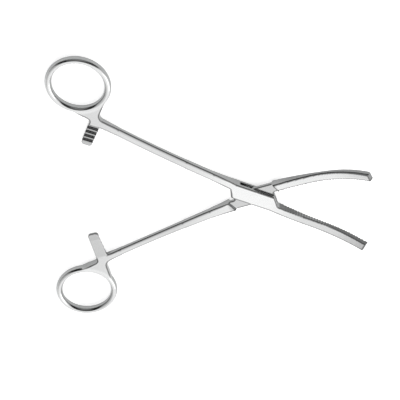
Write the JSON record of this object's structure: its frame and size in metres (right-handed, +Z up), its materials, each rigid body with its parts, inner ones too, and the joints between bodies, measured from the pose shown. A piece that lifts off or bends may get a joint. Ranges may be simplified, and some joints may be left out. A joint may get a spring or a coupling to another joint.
{
  "type": "angiotribe",
  "caption": "Ring-handled surgical crushing clamp with curved jaws, a box lock and a ratchet, lying open on its back.",
  "frame": {"origin": "on the pin's axis, at the underside of the box lock", "axes": "+Z up along the pin, +X towards the jaws along the clamp's middle line, +Y towards the ring of the half with the box"},
  "size_m": [0.1416, 0.1486, 0.0126],
  "materials": {
    "polished_steel": "polished and lightly brushed stainless steel",
    "pin_steel": "stainless steel, peened and polished flush"
  },
  "bodies": {
    "half_with_box": {"box_half": "polished_steel", "pivot_pin": "pin_steel"},
    "half_with_flats": {"flat_half": "polished_steel"}
  },
  "joints": [
    {"name": "box_joint", "type": "hinge", "parent": "half_with_box", "child": "half_with_flats", "pos_m": [0, 0, 0], "axis": [0, 0, 1], "range_deg": [-39.9, 20]}
  ]
}
